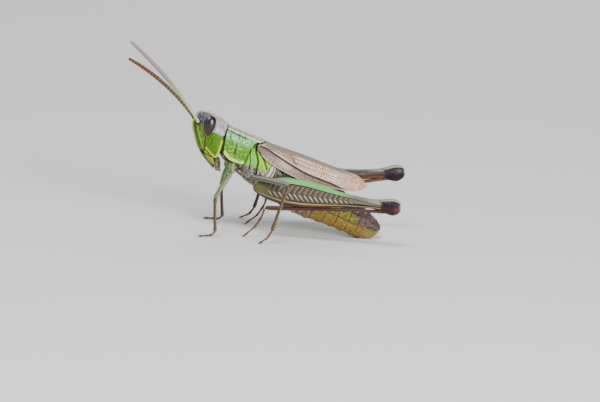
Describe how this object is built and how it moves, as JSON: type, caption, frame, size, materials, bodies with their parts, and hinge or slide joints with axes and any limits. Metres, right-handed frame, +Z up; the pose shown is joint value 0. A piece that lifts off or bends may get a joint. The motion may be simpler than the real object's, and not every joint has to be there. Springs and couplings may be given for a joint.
{
  "type": "grasshopper",
  "caption": "Life-size male meadow grasshopper standing still with folded jumping legs, short wings along its back and two feelers raised forward.",
  "frame": {"origin": "bottom centre of the bounding box, on the floor under the trunk", "axes": "+Z up, -X the way the head points, -Y the insect's left side"},
  "size_m": [0.0208, 0.0094, 0.0133],
  "materials": {
    "head": "satin leaf-green cuticle, pinkish grey on the crown",
    "mouthparts": "olive and cream cuticle with dark seams",
    "eyes": "glossy maroon-brown compound eye, grey-violet above",
    "antennae": "ringed, matt, yellow-grey to red-brown",
    "trunk": "satin green side plates with dark seams",
    "back_shield": "glossy green lobes under a pinkish buff top",
    "abdomen": "ochre and olive rings with dark side marks",
    "wings": "thin tan membrane with brown veins",
    "walking_legs": "grey-brown cuticle with fine hairs",
    "hind_femora": "dark grey-brown with cream herringbone ridges and a green upper edge",
    "hind_shins": "dark red-brown with spines"
  },
  "bodies": {
    "root": {"head": "head", "upper_lip": "mouthparts", "lower_lip": "mouthparts", "mandible_left": "mouthparts", "mandible_right": "mouthparts", "palp_left": "mouthparts", "palp_right": "mouthparts", "eye_left": "eyes", "eye_right": "eyes", "antenna_left": "antennae", "antenna_right": "antennae", "neck": "trunk", "prothorax": "trunk", "mesothorax": "trunk", "metathorax": "trunk", "pronotum": "back_shield", "tail_plate": "abdomen", "subgenital_plate": "abdomen", "forewing_left": "wings", "forewing_right": "wings", "abdomen_1": "abdomen", "abdomen_2": "abdomen", "abdomen_3": "abdomen", "abdomen_4": "abdomen", "abdomen_5": "abdomen", "abdomen_6": "abdomen", "abdomen_7": "abdomen", "abdomen_8": "abdomen", "front_coxa_left": "walking_legs", "front_femur_left": "walking_legs", "front_tibia_left": "walking_legs", "front_tarsus_left": "walking_legs", "middle_coxa_left": "walking_legs", "middle_femur_left": "walking_legs", "middle_tibia_left": "walking_legs", "middle_tarsus_left": "walking_legs", "hind_coxa_left": "trunk", "hind_femur_left": "hind_femora", "hind_tibia_left": "hind_shins", "hind_tarsus_left": "hind_shins", "front_coxa_right": "walking_legs", "front_femur_right": "walking_legs", "front_tibia_right": "walking_legs", "front_tarsus_right": "walking_legs", "middle_coxa_right": "walking_legs", "middle_femur_right": "walking_legs", "middle_tibia_right": "walking_legs", "middle_tarsus_right": "walking_legs", "hind_coxa_right": "trunk", "hind_femur_right": "hind_femora", "hind_tibia_right": "hind_shins", "hind_tarsus_right": "hind_shins"}
  },
  "joints": []
}
